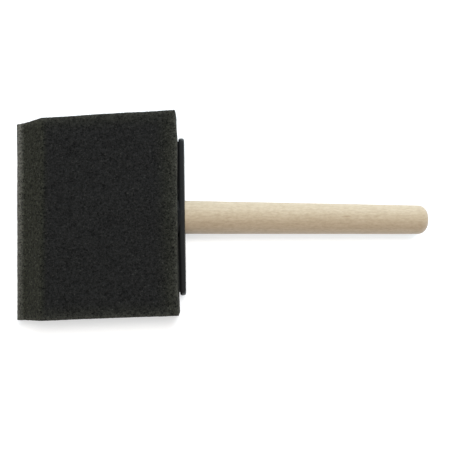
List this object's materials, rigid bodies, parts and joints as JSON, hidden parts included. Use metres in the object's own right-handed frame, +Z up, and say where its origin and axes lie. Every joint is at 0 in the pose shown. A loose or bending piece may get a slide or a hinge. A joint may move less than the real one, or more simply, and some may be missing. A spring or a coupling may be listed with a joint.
{
  "type": "foam sponge brush",
  "caption": "Wide foam sponge brush: a bevelled charcoal foam block on a black moulded plastic core, with a pale turned wooden dowel handle.",
  "frame": {"origin": "midway along the brush's overall length and the foam's width, on the plane of the foam's lower face", "axes": "+X along the brush from the foam's tip to the handle's butt, +Y across the brush, +Z up through the foam's thickness"},
  "size_m": [0.2092, 0.1016, 0.0254],
  "materials": {
    "foam": "matte",
    "black_plastic": "satin",
    "wood": "matte",
    "glue": "satin"
  },
  "bodies": {
    "root": {"foam_head": "foam", "core_moulding": "black_plastic", "foam_glue_upper_left": "glue", "foam_glue_upper_right": "glue", "foam_glue_lower_left": "glue", "foam_glue_lower_right": "glue", "dowel_handle": "wood", "socket_glue": "glue"}
  },
  "joints": []
}
